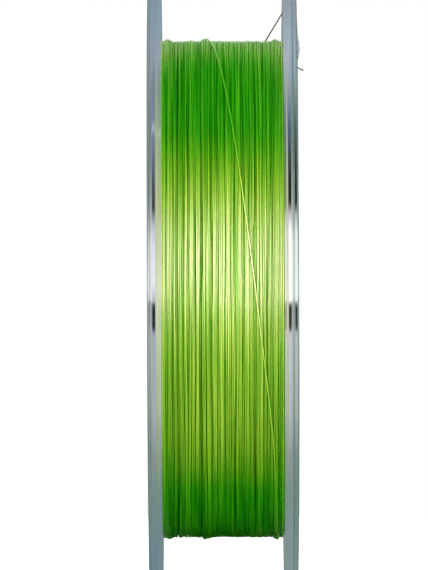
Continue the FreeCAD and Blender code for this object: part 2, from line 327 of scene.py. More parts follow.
def windingTree(name, drop, seed, uneven, material):
    w, seeds = winding, winding["seeds"]
    tree = Tree(name, {**w["sizes"], "drop": drop, "seed": seed, "uneven": uneven})
    given, times, over = tree.given, tree.times, tree.over
    plus, minus, timesPlus = tree.plus, tree.minus, tree.timesPlus
    count = int(w["sizes"]["turns"] * w["stepsPerTurn"])
    line = addNode(tree.nodes, "GeometryNodeMeshLine", {"Count": count})
    along = over(addNode(tree.nodes, "GeometryNodeInputIndex").outputs[0], count - 1.0)
    angle = times(along, times(given["turns"], 2 * math.pi))
    place = timesPlus(along, minus(given["lastPlace"], given["firstPlace"]), given["firstPlace"])
    cosine, sine = tree.math("COSINE", angle), tree.math("SINE", angle)

    def field(pace):  # shared by neighbouring turns, and stretched round the winding
        return tree.vector(times(place, pace[0]), times(cosine, pace[1]), times(sine, pace[1]))

    own = tree.vector(times(angle, w["ownPace"]), 0.0, 0.0)
    bunch = tree.noise(field(w["bunchPace"]), seeds["bunch"], detail=w["bunchDetail"])
    stray = tree.noise(own, seeds["stray"])
    lift = tree.noise(own, seeds["lift"])
    broad = tree.noise(field(w["broadPace"]), seeds["broad"])
    ridge = tree.noise(field(w["ridgePace"]), seeds["ridge"])
    tone = tree.noise(own, seeds["tone"], w["tonePace"], w["toneDetail"])
    outward = over(tree.math("ABSOLUTE", place), w["reach"])
    edge = minus(1.0, tree.math("POWER", outward, w["edgeHold"]))
    facing = timesPlus(times(sine, sine), w["facingGain"], w["facingBase"])
    shift = plus(times(bunch, given["bunchReach"]), times(stray, given["strayReach"]))
    sunk = 0.0
    for n, (groovePlace, depth) in enumerate(w["grooves"]):
        lap = tree.vector(n * w["grooveApart"], times(cosine, w["groovePace"]), times(sine, w["groovePace"]))
        wander = tree.noise(lap, seeds["wander"])
        fade = tree.noise(lap, seeds["fade"], w["fadePace"], w["fadeDetail"])
        middle = timesPlus(wander, given["grooveWander"], groovePlace)
        away = over(minus(place, middle), given["grooveWidth"])
        deepest = tree.math("MAXIMUM", timesPlus(fade, w["fadeGain"] * depth, depth), 0.0)
        strength = times(tree.bell(away), deepest)
        sunk = plus(sunk, strength)
        shift = plus(shift, times(away, strength, facing, given["groovePush"]))
    wandering = tree.math("MAXIMUM", timesPlus(shift, edge, place), given["firstPlace"])
    wandering = tree.math("MINIMUM", wandering, given["lastPlace"])
    height = plus(times(broad, given["rise"]), times(lift, given["liftRise"]))
    height = plus(height, times(ridge, given["ridgeRise"]))
    for humpPlace, humpHeight in w["humps"]:
        away = over(minus(place, humpPlace), given["humpWidth"])
        height = timesPlus(tree.bell(away), humpHeight, height)
    height = minus(height, times(sunk, facing, w["grooveSink"]))
    height = times(height, given["uneven"])
    radius = times(plus(minus(given["topRadius"], given["drop"]), height), mm)
    position = tree.vector(times(wandering, mm), times(sine, radius, -1.0), times(cosine, radius))
    # the ridges and lifts that raise a turn also lighten it: painted light
    shade = timesPlus(tone, w["shadeTone"], w["shadeBase"])
    for part, share in ((ridge, w["shadeRidge"]), (lift, w["shadeLift"]), (bunch, w["shadeBunch"])):
        shade = timesPlus(part, share, shade)
    # turns beside the walls get paler: painted light, as if light came in through the clear walls
    shade = timesPlus(tree.math("POWER", outward, w["wallLightFalloff"]), given["wallLightPainted"], shade)
    # grooves get darker: painted shade
    shade = minus(shade, times(sunk, facing, w["paintedGrooveShade"]))
    strandSize = {"Resolution": w["strandSides"], "Radius": times(given["strandRadius"], mm)}
    circle = addNode(tree.nodes, "GeometryNodeCurvePrimitiveCircle", strandSize)
    # the line of points becomes the strand, step by step
    last = line.outputs["Mesh"]
    for kind, source, inputs, values in (
        ("GeometryNodeSetPosition", "Geometry", {"Position": position}, {}),
        (
            "GeometryNodeStoreNamedAttribute", "Geometry", {"Name": "shade", "Value": shade},
            {"data_type": "FLOAT", "domain": "POINT"},
        ),
        ("GeometryNodeMeshToCurve", "Mesh", {}, {}),
        (
            "GeometryNodeCurveToMesh", "Curve",
            {"Profile Curve": circle.outputs["Curve"], "Fill Caps": True}, {},
        ),
        ("GeometryNodeSetShadeSmooth", "Geometry", {}, {}),
        ("GeometryNodeRealizeInstances", "Geometry", {}, {}),
        ("GeometryNodeSetMaterial", "Geometry", {"Material": material}, {}),
        ("NodeGroupOutput", "Geometry", {}, {}),
    ):
        step = addNode(tree.nodes, kind, {source: last, **inputs}, **values)
        last = step.outputs[0] if step.outputs else None
    return tree


def woundLayer(name, sizes, material, nodeName):
    layer = applied(name, windingTree(name, *sizes, material))
    finishPiece(layer, "green_line", nodeName)
    return layer


topLayer = woundLayer("woundTopLayer", winding["layers"][0], braidMaterial, "outer_layer")
# the under layer wears the line in painted shade
underLayer = woundLayer("woundUnderLayer", winding["layers"][1], shadedDeepMaterial, "outer_layer")
firstLayer = woundLayer("woundFirstLayer", winding["layers"][2], braidMaterial, "inner_layers")


def turnedMesh(name, outline, steps):
    build = bmesh.new()
    rings = []
    for n in range(steps):
        rings.append([build.verts.new(at(place, radius, 360.0 * n / steps)) for place, radius in outline])
    for this, following in zip(rings, rings[1:] + rings[:1]):
        for m in range(len(outline)):
            k = (m + 1) % len(outline)
            build.faces.new((this[m], this[k], following[k], following[m]))
    return meshFrom(build, name)


# The turns below: a core whose round faces wear the line in painted shade, with each layer's last turns side
# by side at the walls
coreSizes = {
    "radius": 41.95, "drumRadius": 39.30, "width": 20.8, "layers": 11, "steps": 256,
    "clearance": 0.02, "notch": 0.09, "setback": 0.06, "crest": (0.3, 0.7),
    # tones of the end faces: base, from layer to layer, and round the winding
    "endDepth": 0.5, "endShade": 0.35, "layerTones": 0.5, "layerPace": 0.618,
    "roundTones": 0.2, "roundPace": 3, "roundStep": 2.1,
}
coreStep = (coreSizes["radius"] - coreSizes["drumRadius"]) / coreSizes["layers"]


def coreOutline():
    s = coreSizes
    wall = s["width"] / 2 - s["clearance"]
    rightEnd = []
    for n in range(s["layers"]):
        tip = wall - s["setback"] * (n % 2)
        low = s["drumRadius"] + n * coreStep
        rightEnd.append((tip - s["notch"], low))
        rightEnd += [(tip, low + coreStep * share) for share in s["crest"]]
    rightEnd.append((wall - s["notch"], s["radius"]))
    return rightEnd + [(-place, radius) for place, radius in reversed(rightEnd)]


def shadeCore(mesh):
    s = coreSizes
    shades = []
    for face in mesh.polygons:
        centre = face.center / mm
        layer = int((math.hypot(centre.y, centre.z) - s["drumRadius"]) / coreStep)
        turn = math.atan2(centre.z, centre.y)
        atEnd = abs(centre.x) > s["width"] / 2 - s["endDepth"]
        face.material_index = 1 if atEnd else 0
        tone = s["endShade"] + s["layerTones"] * ((layer * s["layerPace"]) % 1)
        tone += s["roundTones"] * math.sin(s["roundPace"] * turn + s["roundStep"] * layer)
        shades.append(tone if atEnd else 0.0)
    mesh.attributes.new("shade", "FLOAT", "FACE").data.foreach_set("value", shades)


core = newObject("woundCore", turnedMesh("woundCore", coreOutline(), coreSizes["steps"]))
core.data.materials.append(shadedDeepMaterial)
core.data.materials.append(braidMaterial)
shadeCore(core.data)
finishPiece(core, "green_line", "inner_layers")


# Loose line: the crossing turn and the tail
crossing = {
    "route": (
        (-150.0, -9.3), (-105.0, -9.1), (-65.0, -7.9), (-30.0, -5.5), (0.0, -2.86), (45.0, 1.2),
        (90.0, 5.43), (125.0, 8.3), (150.0, 8.95), (180.0, 9.2), (225.0, 7.6), (270.0, 5.6),
    ),  # angle and place
    # shade 1.7 gives the crossing turn the palest colour and strongest sheen: painted light on the turn that
    # lies on top
    "step": 2.0, "radius": 42.76, "lineRadius": 0.125, "shade": 1.7,
}


def tubeAlong(name, points, lineRadius, material, shade, swell=()):
    curve = bpy.data.curves.new(name, "CURVE")
    curve.dimensions = "3D"
    curve.bevel_depth = lineRadius * mm
    curve.bevel_resolution = 2
    curve.use_fill_caps = True
    spline = curve.splines.new("POLY")
    spline.points.add(len(points) - 1)
    for point, place in zip(spline.points, points):
        point.co = (*place, 1.0)
    for fromEnd, factor in swell:
        spline.points[len(points) - 1 - fromEnd].radius = factor
    carrier = newObject(name + "Path", curve)
    mesh = evaluatedMesh(carrier)
    bpy.data.objects.remove(carrier)
    smoothFaces(mesh)
    mesh.materials.append(material)
    mesh.attributes.new("shade", "FLOAT", "POINT").data.foreach_set("value", [shade] * len(mesh.vertices))
    return newObject(name, mesh)


# points on a smooth curve through the stations
def smoothStations(stations, step):
    points = []
    for n in range(len(stations) - 1):
        before, after = stations[max(n - 1, 0)], stations[min(n + 2, len(stations) - 1)]
        first, last = stations[n], stations[n + 1]
        slopeFirst = (last[1] - before[1]) / (last[0] - before[0])
        slopeLast = (after[1] - first[1]) / (after[0] - first[0])
        wide = last[0] - first[0]
        count = max(int(wide / step), 1)
        for k in range(count):
            t = k / count
            level = (2 * t ** 3 - 3 * t ** 2 + 1) * first[1] + (-2 * t ** 3 + 3 * t ** 2) * last[1]
            bend = (t ** 3 - 2 * t ** 2 + t) * slopeFirst + (t ** 3 - t ** 2) * slopeLast
            points.append((first[0] + wide * t, level + bend * wide))
    points.append(stations[-1])
    return points


crossingRoute = smoothStations(crossing["route"], crossing["step"])
crossingTurn = tubeAlong(
    "crossingTurn", [at(place, crossing["radius"], angle) for angle, place in crossingRoute],
    crossing["lineRadius"], braidMaterial, crossing["shade"],
)
finishPiece(crossingTurn, "green_line", "crossing_turn")

tail = {
    "lineRadius": 0.1175, "shade": 0.5,
    "windFrom": -90.0, "windPlace": 5.6, "windStep": 3,
    "leave": (6.45, 42.72, -16.5),  # place, radius and angle
    "innerFace": 10.4, "onFace": 12.60, "holeRadius": 48.0, "holeAngle": 10.8,
    "bulge": 0.15, "endRadius": 47.8, "endAngle": 38.4,
    "tipMiddle": (0.42, 0.40), "tip": (1.10, 0.62),  # out and down
    "bends": (0.9, 0.9, 4.5, 0.25, 0.25), "bendSteps": 6,
    # the cut tip is frayed and a little thicker: shares of its last run, and points from the end
    "fray": (0.75, 0.5, 0.28, 0.12), "swell": ((0, 0.8), (1, 1.6), (2, 1.6), (3, 1.1), (5, 1.8)),
}


def roundedRoute(points, bends, steps):
    route = [points[0]]
    for before, corner, after, reach in zip(points, points[1:], points[2:], bends):
        first = corner + (before - corner).normalized() * reach * mm
        last = corner + (after - corner).normalized() * reach * mm
        for n in range(steps + 1):
            t = n / steps
            route.append(first * (1 - t) ** 2 + corner * 2 * t * (1 - t) + last * t ** 2)
    route.append(points[-1])
    return route


def tailRoute():
    place, radius, angle = tail["leave"]
    lap = angle - tail["windFrom"]
    wound = []
    for back in range(int(lap), 0, -tail["windStep"]):
        wound.append(at(place - (place - tail["windPlace"]) * back / lap, radius, angle - back))
    mouth = at(tail["onFace"], tail["holeRadius"], tail["holeAngle"])
    end = at(tail["onFace"], tail["endRadius"], tail["endAngle"])
    tip = [end + Vector((out, 0, -down)) * mm for out, down in (tail["tipMiddle"], tail["tip"])]
    runs = [
        at(place, radius, angle), at(tail["innerFace"], tail["holeRadius"], tail["holeAngle"]), mouth,
        (mouth + end) / 2 + Vector((tail["bulge"] * mm, 0, 0)), end, *tip,
    ]
    route = wound + roundedRoute(runs, tail["bends"], tail["bendSteps"])
    fray = [route[-1].lerp(route[-2], share) for share in tail["fray"]]
    return route[:-1] + fray + route[-1:]


# the tail wears the line in painted shade
lineTail = tubeAlong("lineTail", tailRoute(), tail["lineRadius"], shadedTailMaterial, tail["shade"], tail["swell"])
finishPiece(lineTail, "green_line", "line_tail")

# Clear plastic: the rim gathers light and mirrors the room, the flat walls are seen through
clearSizes = {
    "wall": (0.97, 0.985, 0.99, 1), "roughness": 0.05, "ior": 1.5,
    "tint": (0.74, 0.81, 0.835, 1), "density": 40.0,
    # fine darker streaks run round the rim, dimming what it mirrors
    "streakTint": (0.80, 0.84, 0.86, 1), "streaks": (2600.0, 45.0, 45.0), "streakDetail": 3.0,
    "streakFrom": 0.35, "streakFull": 0.70, "streakShare": 0.5,
}


def makeClearMaterial(name, sizes):
    material, nodes = newMaterial(name)
    rim = attributeNode(nodes, "rim")["Fac"]
    tint = attributeNode(nodes, "tint")["Color"]
    along = addNode(nodes, "ShaderNodeMapping", {"Vector": ownPlace(nodes), "Scale": sizes["streaks"]})
    streak = grainNode(nodes, along.outputs["Vector"], 1.0, sizes["streakDetail"])
    strength = rangeNode(nodes, streak, sizes["streakFrom"], sizes["streakFull"], 0.0, sizes["streakShare"])
    edge = mixColours(nodes, strength, tint, sizes["streakTint"], "MULTIPLY")
    inside = {"Color": sizes["tint"], "Density": sizes["density"]}
    absorb = addNode(nodes, "ShaderNodeVolumeAbsorption", inside)
    principled(nodes, {
        "Base Color": mixColours(nodes, rim, sizes["wall"], edge),
        "Metallic": rim,
        "Roughness": sizes["roughness"],
        "IOR": sizes["ior"],
        "Transmission Weight": 1.0,
    }, Volume=absorb.outputs["Volume"])
    return material


clearMaterial = makeClearMaterial("clearPolystyrene", clearSizes)

flange = {
    "steps": 288, "lipSteps": 6, "beadSteps": 10, "filletSteps": 4, "sharpFrom": 28,
    # places along the axis, from the middle out, and how thick the flange is
    "middleGap": 0.02, "inner": 10.4, "face": 12.45, "lipFace": 12.70, "web": 1.5,
    # radii
    "boreRadius": 6.0, "bossRadius": 8.2, "bossWall": 2.2, "drumBore": 37.0, "drumRadius": 39.0,
    "ringRadius": 49.4, "rimFrom": 50.2, "lipRadius": 50.4, "beadEdge": 50.88, "beadTop": 51.0,
    # edges
    "boreBevel": 0.3, "ringBevel": (0.08, 0.06, 0.2), "lipCorner": 0.35, "drumFillet": 0.4,
    "grooveWide": 0.22, "grooveDip": 0.07, "grooveSteps": ((1.0, 0.2), (0.5, 1.0), (0.0, 0.3)),
    "overhang": 0.10, "overhangSlack": 0.05,
    "shoulderDrop": 0.05, "shoulderSlope": 0.3, "stripRun": 0.8,
    # how the halves go together
    "jointGap": 0.025, "spigot": 2.5,
    "ribs": 6, "ribThick": 1.2, "ribSetback": 0.6, "ribDrop": 3.0, "ribCrown": 2.0,
    "tabs": 3, "tabWide": 6.0, "tabThick": 1.5, "barb": 0.7, "barbFlat": 0.5, "barbTaper": 1.2,
    "ledge": 0.9, "ledgeThick": 1.4, "ledgeMargin": 1.0, "bite": 0.5,
    # each hole's distance from the axis, angle and radius
    "driveHoles": ((15.0, 30.0, 3.0), (15.0, 210.0, 3.0)), "lineHole": 1.0, "rodReach": 14.0, "rodSides": 48,
}
# where the bead runs on each rim, and how its strips mirror: share and colour
# the groove's darker tint is a painted shade line, the lip's and corner's green tints a painted reflection
# of the line
rims = {
    -1: {
        "beadInner": 11.0, "beadOuter": 12.12, "fillet": 0.40,
        "inner": (0.95, (1.0, 1.0, 1.0)), "bead": (0.93, (0.95, 0.96, 1.0)),
        "groove": (0.85, (0.72, 0.78, 0.78)), "lip": (0.85, (0.88, 1.0, 0.94)),
        "corner": (0.75, (0.95, 1.0, 0.97)),
    },
    1: {
        "beadInner": 10.66, "beadOuter": 11.74, "fillet": 0.24,
        "inner": (0.95, (1.0, 1.0, 1.0)), "bead": (0.95, (1.0, 1.0, 1.0)),
        "groove": (0.85, (0.70, 0.76, 0.74)), "lip": (0.85, (0.86, 1.0, 0.92)),
        "corner": (0.75, (0.93, 1.0, 0.96)),
    },
}


def arc(place, radius, size, first, last, steps):
    turns = [math.radians(first + (last - first) * n / steps) for n in range(steps + 1)]
    return [(place + size * math.sin(turn), radius + size * math.cos(turn)) for turn in turns]


def flangeProfile(side, joint):
    s, rim = flange, rims[side]
    face, lipFace, lipRadius, dip = s["face"], s["lipFace"], s["lipRadius"], s["grooveDip"]
    bevel, corner, fillet = s["boreBevel"], s["lipCorner"], s["drumFillet"]
    halfWide = (rim["beadOuter"] - rim["beadInner"]) / 2
    sagitta = s["beadTop"] - s["beadEdge"]
    crown = (halfWide ** 2 + sagitta ** 2) / (2 * sagitta)
    reach = math.degrees(math.asin(halfWide / crown))
    shoulder = s["beadEdge"] - s["shoulderDrop"]
    slope = rim["fillet"] * s["shoulderSlope"]
    inside = face - s["web"]
    outer = rim["beadOuter"]
    groove = [(outer + s["grooveWide"] * out, lipRadius - dip * down) for out, down in s["grooveSteps"]]
    return [
        (s["middleGap"], s["boreRadius"]), (face - bevel, s["boreRadius"]), (face, s["boreRadius"] + bevel),
        (face, s["ringRadius"]), (lipFace - s["ringBevel"][0], s["ringRadius"] + s["ringBevel"][1]),
        (lipFace, s["ringRadius"] + s["ringBevel"][2]),
        *arc(lipFace - corner, lipRadius - corner, corner, 90, 0, s["lipSteps"]),
        *groove,
        *arc(rim["beadInner"] + halfWide, s["beadTop"] - crown, crown, reach, -reach, s["beadSteps"]),
        (s["inner"] + rim["fillet"], shoulder), (s["inner"] - s["overhang"], shoulder - slope),
        (s["inner"], shoulder - slope - s["stripRun"]),
        *arc(s["inner"] - fillet, s["drumRadius"] + fillet, fillet, 90, 180, s["filletSteps"]),
        *joint, (inside, s["drumBore"]), (inside, s["bossRadius"]), (s["middleGap"], s["bossRadius"]),
    ]


def plates(name, outline, thickness, angles):
    build = bmesh.new()
    for angle in angles:
        turn = math.radians(angle)
        across = Vector((0, -math.cos(turn), -math.sin(turn))) * mm
        sides = []
        for offset in (-thickness / 2, thickness / 2):
            corners = [at(place, radius, angle) + across * offset for place, radius in outline]
            sides.append([build.verts.new(corner) for corner in corners])
        build.faces.new(sides[0])
        build.faces.new(reversed(sides[1]))
        for n in range(len(outline)):
            m = (n + 1) % len(outline)
            build.faces.new((sides[0][m], sides[0][n], sides[1][n], sides[1][m]))
    return newObject(name, meshFrom(build, name))


def rods(name, places):
    build = bmesh.new()
    steps = flange["rodSides"]
    turns = [2 * math.pi * n / steps for n in range(steps)]
    ways = [Vector((0, math.cos(turn), math.sin(turn))) for turn in turns]
    for radius, angle, thickness in places:
        rings = []
        for end in (-flange["rodReach"], flange["rodReach"]):
            middle = at(end, radius, angle)
            rings.append([build.verts.new(middle + way * thickness * mm) for way in ways])
        build.faces.new(rings[0])
        build.faces.new(rings[1])
        for n in range(steps):
            m = (n + 1) % steps
            build.faces.new((rings[0][n], rings[0][m], rings[1][m], rings[1][n]))
    return newObject(name, meshFrom(build, name))


def combine(piece, other, operation):
    modifier = piece.modifiers.new("join", "BOOLEAN")
    modifier.operation = operation
    modifier.solver = "EXACT"
    modifier.object = other
    piece.data = evaluatedMesh(piece)
    piece.modifiers.clear()
    bpy.data.objects.remove(other)


# gives each rim strip its mirror tint, painted shade and painted reflection among them
def paintRimStrips(mesh, rim):
    s = flange
    strips = (
        ("inner", rim["beadInner"]), ("bead", rim["beadOuter"]),
        ("groove", rim["beadOuter"] + s["grooveWide"]),
        ("lip", s["lipFace"] - s["lipCorner"]), ("corner", math.inf),
    )
    shares, tints = [], []
    for face in mesh.polygons:
        centre = face.center / mm
        place = abs(centre.x)
        share, colour = 0.0, (1.0, 1.0, 1.0)
        outside = place > s["inner"] - s["overhang"] + s["overhangSlack"]
        if outside and math.hypot(centre.y, centre.z) > s["rimFrom"]:
            share, colour = rim[next(strip for strip, end in strips if place < end)]
        shares.append(share)
        tints += (*colour, 1.0)
    mesh.attributes.new("rim", "FLOAT", "FACE").data.foreach_set("value", shares)
    mesh.attributes.new("tint", "FLOAT_COLOR", "FACE").data.foreach_set("color", tints)


def clearHalf(name, side, joint, fittings, holes):
    profile = [(side * place, radius) for place, radius in flangeProfile(side, joint)]
    piece = newObject(name, turnedMesh(name, profile, flange["steps"]))
    for fitting in fittings:
        combine(piece, fitting, "UNION")
    combine(piece, rods(name + "Holes", holes), "DIFFERENCE")
    piece.data.name = name
    paintRimStrips(piece.data, rims[side])
    smoothFaces(piece.data, flange["sharpFrom"])
    piece.data.materials.clear()
    piece.data.materials.append(clearMaterial)
    piece.visible_shadow = False  # clear plastic lets the lamps' light through
    return piece


gap = flange["jointGap"]
socket = flange["spigot"] + gap * 2


def ribOutline(side):
    s = flange
    root = s["face"] - s["web"] / 2
    hub = s["bossRadius"] - s["bossWall"] / 2
    seat = s["drumBore"] + s["bite"]
    low = socket + s["ribSetback"] + s["ribDrop"]
    outline = [
        (root, hub), (s["ribSetback"], hub), (s["ribSetback"], s["bossRadius"] + s["ribCrown"]),
        (low, s["drumBore"] - s["tabThick"]), (low, seat), (root, seat),
    ]
    return [(side * place, radius) for place, radius in outline]


split = (flange["drumRadius"] + flange["drumBore"]) / 2
spigotJoint = [
    (flange["middleGap"], flange["drumRadius"]), (flange["middleGap"], split - gap),
    (-flange["spigot"], split - gap), (-flange["spigot"], flange["drumBore"]),
]
socketJoint = [
    (flange["middleGap"], flange["drumRadius"]), (flange["middleGap"], split + gap),
    (socket, split + gap), (socket, flange["drumBore"]),
]
ribAngles = [360.0 * n / flange["ribs"] for n in range(flange["ribs"])]
tabAngles = [180.0 / flange["ribs"] + 360.0 * n / flange["tabs"] for n in range(flange["tabs"])]
tabTop = flange["drumBore"] - flange["ledge"] - gap * 2
tabLow = tabTop - flange["tabThick"]
tabRoot = -flange["face"] + flange["web"] / 2
catch = flange["spigot"] + flange["ledgeThick"] + gap * 4
barbFull = catch + flange["barbFlat"]
barbEnd = barbFull + flange["barbTaper"]
tabOutline = [
    (tabRoot, tabLow), (barbEnd, tabLow), (barbEnd, tabTop), (barbFull, tabTop + flange["barb"]),
    (catch, tabTop + flange["barb"]), (catch, tabTop), (tabRoot, tabTop),
]
ledgeLow, ledgeRoot = flange["drumBore"] - flange["ledge"], flange["drumBore"] + flange["bite"]
ledgeEnd = socket + flange["ledgeThick"]
ledgeOutline = [(socket, ledgeLow), (ledgeEnd, ledgeLow), (ledgeEnd, ledgeRoot), (socket, ledgeRoot)]
ledgeWide = flange["tabWide"] + 2 * flange["ledgeMargin"]
leftFittings = [
    plates("leftRibs", ribOutline(-1), flange["ribThick"], ribAngles),
    plates("snapTabs", tabOutline, flange["tabWide"], tabAngles),
]
clearLeft = clearHalf("clearLeftHalf", -1, spigotJoint, leftFittings, flange["driveHoles"])
finishPiece(clearLeft, "clear_plastic", "left_half")
rightFittings = [
    plates("rightRibs", ribOutline(1), flange["ribThick"], ribAngles),
    plates("ledges", ledgeOutline, ledgeWide, tabAngles),
]
lineHole = (tail["holeRadius"], tail["holeAngle"], flange["lineHole"])
clearRight = clearHalf("clearRightHalf", 1, socketJoint, rightFittings, (*flange["driveHoles"], lineHole))
finishPiece(clearRight, "clear_plastic", "right_half")


# Tapes: a mottled film each
def makeTapeMaterial(name, first, second, grain, inputs):
    material, nodes = newMaterial(name)
    mottle = grainNode(nodes, ownPlace(nodes), grain)
    principled(nodes, {"Base Color": mixColours(nodes, mottle, first, second), **inputs})
    return material


# The clear tape rises over the line and lies flat at both ends
tape = {
    "angle": 33.3, "middleRadius": 46.1, "wide": 3.4, "length": 17.0, "thick": 0.1, "clearance": 0.004,
    "thinned": 0.01, "rise": 0.58, "riseStart": -11.0, "riseTop": -3.75, "riseEnd": 1.4,
    "steps": 68, "across": 6, "sharpFrom": 30,
    "colours": ((0.74, 0.70, 0.80, 1), (0.84, 0.82, 0.88, 1)), "grain": 900.0,
    "finish": {"Roughness": 0.25, "IOR": 1.45, "Transmission Weight": 0.45},
}


def tapeRise(along):
    before, after = tape["riseTop"] - tape["riseStart"], tape["riseEnd"] - tape["riseTop"]
    t = 1 - abs(along - tape["riseTop"]) / (before if along < tape["riseTop"] else after)
    t = min(max(t, 0.0), 1.0)
    return tape["rise"] * t * t * (3 - 2 * t)


def tapeStrip():
    turn = math.radians(tape["angle"])
    way = Vector((0, -math.cos(turn), -math.sin(turn))) * mm
    outward = at(0, 1, tape["angle"])
    stations = [k / tape["across"] - 0.5 for k in range(tape["across"] + 1)]
    bottom = flange["face"] + tape["clearance"]
    build = bmesh.new()
    rows = []
    for n in range(tape["steps"] + 1):
        along = tape["length"] * (n / tape["steps"] - 0.5)
        row = []
        for across, lift in [(k, 0) for k in stations] + [(k, 1) for k in reversed(stations)]:
            middle = outward * (tape["middleRadius"] + across * tape["wide"])
            tent = tapeRise(along) * (1 - (2 * across) ** 2)
            place = bottom + tent + lift * (tape["thick"] - tape["thinned"])
            row.append(build.verts.new(middle + way * along + Vector((place * mm, 0, 0))))
        rows.append(row)
    for this, following in zip(rows, rows[1:]):
        for n in range(len(this)):
            m = (n + 1) % len(this)
            build.faces.new((this[n], this[m], following[m], following[n]))
    build.faces.new(rows[0])
    build.faces.new(reversed(rows[-1]))
    mesh = meshFrom(build, "clearTapeStrip")
    smoothFaces(mesh, tape["sharpFrom"])
    mesh.materials.append(makeTapeMaterial("clearTape", *tape["colours"], tape["grain"], tape["finish"]))
    return newObject("clearTapeStrip", mesh)


tapePiece = tapeStrip()
finishPiece(tapePiece, "clear_tape", "tail_tape")

# The paper tape that holds the line's inner end is seen through the clear drum
paper = {
    "colours": ((0.70, 0.66, 0.54, 1), (0.84, 0.81, 0.70, 1)), "grain": 1400.0,
    "finish": {"Roughness": 0.75},
}
paperMaterial = makeTapeMaterial("paperTape", *paper["colours"], paper["grain"], paper["finish"])
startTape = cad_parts["start_tape"]
startTape.data.materials.clear()
startTape.data.materials.append(paperMaterial)
print("paper tape made")

# Studio
studio = {
    "white": (1, 1, 1, 1), "dark": (0, 0, 0, 1),
    # the even light around, from level to overhead
    "fillLow": 0.50, "fillHigh": 1.42,
    # the dim green glow that the line mirrors in the clear walls beside it
    "behindWall": (0.015, 0.15, 0.004, 1), "behindLevel": (1.2, 1.3, 0.8, 1), "behindTop": 0.75,
    "floorRadius": 600.0, "floorSides": 96, "floorColour": (0.80, 0.80, 0.80, 1), "floorGlow": 0.6,
    "floorDim": (0.66, 0.66, 0.66, 1), "floorMirrored": (0.02, 0.05, 0.01, 1),
}
# the soft boxes shine at the spool, and the pale table in front glows up at it
lamps = {
    "frontSoftbox": {"power": 9.0, "size": (1.8, 0.56), "place": at(0, 1200.0, 93.0), "pitch": 93.0},
    "backSoftbox": {"power": 2.2, "size": (0.9, 0.9), "place": at(0, 1200.0, -52.0), "pitch": -52.0},
    "tableGlow": {
        "power": 0.018, "size": (0.30, 0.04), "place": Vector((0, -110.0, -48.0)) * mm, "pitch": 125.0,
        "visible_transmission": False,
    },
}
for name, lamp in lamps.items():
    light = newObject(name, bpy.data.lights.new(name, "AREA"))
    light.data.shape = "RECTANGLE"
    light.data.size, light.data.size_y = lamp["size"]
    light.data.energy = lamp["power"]
    light.location = lamp["place"]
    light.rotation_euler = (math.radians(lamp["pitch"]), 0, 0)
    light.visible_camera = False
    light.visible_glossy = False
    light.visible_transmission = lamp.get("visible_transmission", True)
print("lamps placed")


halfBounce = 0.5  # tells none from one and more


# true for the camera's rays, and for those that went straight on through clear plastic
def seenStraight(nodes, path, bounces):
    straight = mathNode(nodes, "LESS_THAN", bounces, halfBounce)
    through = mathNode(nodes, "MULTIPLY", path["Is Transmission Ray"], straight)
    return mathNode(nodes, "MAXIMUM", path["Is Camera Ray"], through)


def depthNode(nodes, path):
    return mathNode(nodes, "ADD", path["Glossy Depth"], path["Diffuse Depth"])


world = bpy.data.worlds.new("studio")
bpy.context.scene.world = world
world.use_nodes = True
world.cycles.sampling_method = "NONE"
worldNodes = world.node_tree.nodes
worldNodes.clear()


def background(colour, strength=1.0):
    return addNode(worldNodes, "ShaderNodeBackground", {"Color": colour, "Strength": strength}).outputs[0]


worldPath = addNode(worldNodes, "ShaderNodeLightPath").outputs
direction = addNode(worldNodes, "ShaderNodeTexCoord").outputs["Generated"]
upward = addNode(worldNodes, "ShaderNodeSeparateXYZ", {0: direction}).outputs["Z"]
fillStrength = rangeNode(worldNodes, upward, 0.0, 1.0, studio["fillLow"], studio["fillHigh"])
fill = background(studio["white"], fillStrength)
steepness = mathNode(worldNodes, "ABSOLUTE", upward)
behind = rangeNode(worldNodes, steepness, studio["behindTop"], 0.0, easing="SMOOTHSTEP")
wallGlow = mixColours(worldNodes, behind, studio["behindWall"], studio["behindLevel"])
mirrored = background(mixColours(worldNodes, worldPath["Is Transmission Ray"], studio["dark"], wallGlow))
glossed = mathNode(worldNodes, "GREATER_THAN", worldPath["Glossy Depth"], halfBounce)
# light that bounced off the line before it went through the plastic meets the dark room
seen = seenStraight(worldNodes, worldPath, depthNode(worldNodes, worldPath))
around = mixShaders(worldNodes, glossed, fill, mirrored)
worldSurface = mixShaders(worldNodes, seen, around, background(studio["white"]))
addNode(worldNodes, "ShaderNodeOutputWorld", {"Surface": worldSurface})


def makeFloorMaterial():
    material, nodes = newMaterial("paleFloor")
    path = addNode(nodes, "ShaderNodeLightPath").outputs
    matte, dim, shaded = [
        addNode(nodes, "ShaderNodeBsdfDiffuse", {"Color": studio[key]}).outputs[0]
        for key in ("floorColour", "floorDim", "floorMirrored")
    ]
    glow = addNode(nodes, "ShaderNodeEmission", {"Strength": studio["floorGlow"]}).outputs[0]
    bright = addNode(nodes, "ShaderNodeAddShader", {0: matte, 1: glow}).outputs[0]
    glossedRay = mathNode(nodes, "GREATER_THAN", path["Glossy Depth"], halfBounce)
    unseen = mixShaders(nodes, glossedRay, dim, shaded)
    floorSeen = seenStraight(nodes, path, path["Glossy Depth"])
    addNode(nodes, "ShaderNodeOutputMaterial", {"Surface": mixShaders(nodes, floorSeen, unseen, bright)})
    return material


floorBuild = bmesh.new()
bmesh.ops.create_circle(
    floorBuild, cap_ends=True, segments=studio["floorSides"], radius=studio["floorRadius"] * mm,
)
bmesh.ops.translate(floorBuild, verts=floorBuild.verts, vec=(0, 0, cadBox[0].z))
floor = newObject("floor", meshFrom(floorBuild, "floor", turnOut=False))
floor.data.materials.append(makeFloorMaterial())
floor.visible_glossy = False

